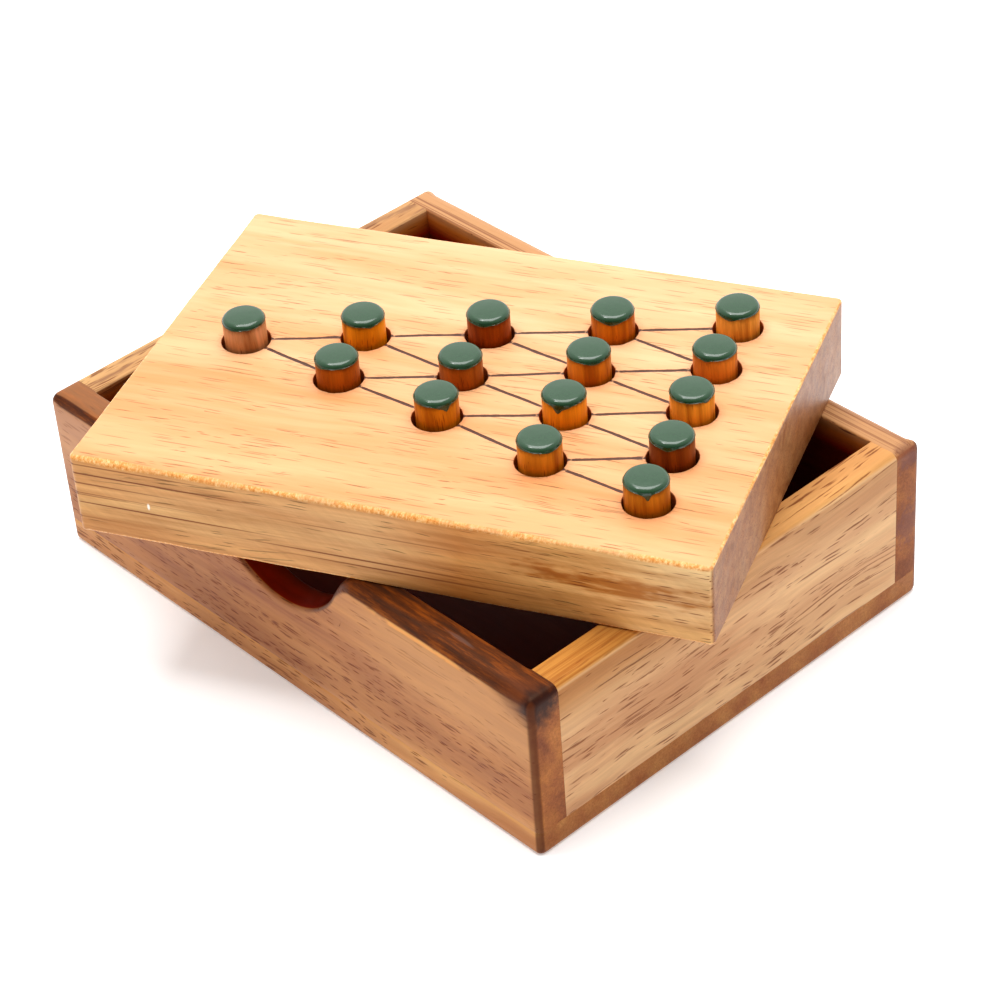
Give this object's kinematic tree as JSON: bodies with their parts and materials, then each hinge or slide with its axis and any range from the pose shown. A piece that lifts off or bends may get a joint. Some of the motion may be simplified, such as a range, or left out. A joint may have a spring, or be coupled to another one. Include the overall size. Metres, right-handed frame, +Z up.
{
  "type": "triangular peg solitaire box",
  "caption": "Wooden box with a finger notch and a drop-in lid that is a triangular peg solitaire board, with paint-tipped dowel pegs.",
  "frame": {"origin": "centre of the box's bottom face, on the surface that it stands on", "axes": "+Z up; +X along the box's long side, towards the end where the board's five-hole column lies; the finger notch faces -Y"},
  "size_m": [0.1417, 0.1236, 0.0561],
  "materials": {
    "box_wood": "satin",
    "ledge_wood": "satin",
    "board_wood": "satin",
    "peg_wood": "satin",
    "peg_paint": "glossy"
  },
  "bodies": {
    "box": {"box_bottom": "box_wood", "box_side_front": "box_wood", "box_side_back": "box_wood", "box_end_left": "box_wood", "box_end_right": "box_wood", "ledge_left": "ledge_wood", "ledge_right": "ledge_wood"},
    "board": {"lid_board": "board_wood"},
    "peg_01": {"peg_01": "peg_wood"},
    "peg_02": {"peg_02": "peg_wood"},
    "peg_03": {"peg_03": "peg_wood"},
    "peg_04": {"peg_04": "peg_wood"},
    "peg_05": {"peg_05": "peg_wood"},
    "peg_06": {"peg_06": "peg_wood"},
    "peg_07": {"peg_07": "peg_wood"},
    "peg_08": {"peg_08": "peg_wood"},
    "peg_09": {"peg_09": "peg_wood"},
    "peg_10": {"peg_10": "peg_wood"},
    "peg_11": {"peg_11": "peg_wood"},
    "peg_12": {"peg_12": "peg_wood"},
    "peg_13": {"peg_13": "peg_wood"},
    "peg_14": {"peg_14": "peg_wood"},
    "peg_15": {"peg_15": "peg_wood"}
  },
  "joints": [
    {"name": "board_lift", "type": "slide", "parent": "box", "child": "board", "axis": [0, 0, 1], "range_m": [0, 0.06]},
    {"name": "peg_01_lift", "type": "slide", "parent": "board", "child": "peg_01", "axis": [0, 0, 1], "range_m": [0, 0.02]},
    {"name": "peg_02_lift", "type": "slide", "parent": "board", "child": "peg_02", "axis": [0, 0, 1], "range_m": [0, 0.02]},
    {"name": "peg_03_lift", "type": "slide", "parent": "board", "child": "peg_03", "axis": [0, 0, 1], "range_m": [0, 0.02]},
    {"name": "peg_04_lift", "type": "slide", "parent": "board", "child": "peg_04", "axis": [0, 0, 1], "range_m": [0, 0.02]},
    {"name": "peg_05_lift", "type": "slide", "parent": "board", "child": "peg_05", "axis": [0, 0, 1], "range_m": [0, 0.02]},
    {"name": "peg_06_lift", "type": "slide", "parent": "board", "child": "peg_06", "axis": [0, 0, 1], "range_m": [0, 0.02]},
    {"name": "peg_07_lift", "type": "slide", "parent": "board", "child": "peg_07", "axis": [0, 0, 1], "range_m": [0, 0.02]},
    {"name": "peg_08_lift", "type": "slide", "parent": "board", "child": "peg_08", "axis": [0, 0, 1], "range_m": [0, 0.02]},
    {"name": "peg_09_lift", "type": "slide", "parent": "board", "child": "peg_09", "axis": [0, 0, 1], "range_m": [0, 0.02]},
    {"name": "peg_10_lift", "type": "slide", "parent": "board", "child": "peg_10", "axis": [0, 0, 1], "range_m": [0, 0.02]},
    {"name": "peg_11_lift", "type": "slide", "parent": "board", "child": "peg_11", "axis": [0, 0, 1], "range_m": [0, 0.02]},
    {"name": "peg_12_lift", "type": "slide", "parent": "board", "child": "peg_12", "axis": [0, 0, 1], "range_m": [0, 0.02]},
    {"name": "peg_13_lift", "type": "slide", "parent": "board", "child": "peg_13", "axis": [0, 0, 1], "range_m": [0, 0.02]},
    {"name": "peg_14_lift", "type": "slide", "parent": "board", "child": "peg_14", "axis": [0, 0, 1], "range_m": [0, 0.02]},
    {"name": "peg_15_lift", "type": "slide", "parent": "board", "child": "peg_15", "axis": [0, 0, 1], "range_m": [0, 0.02]}
  ]
}
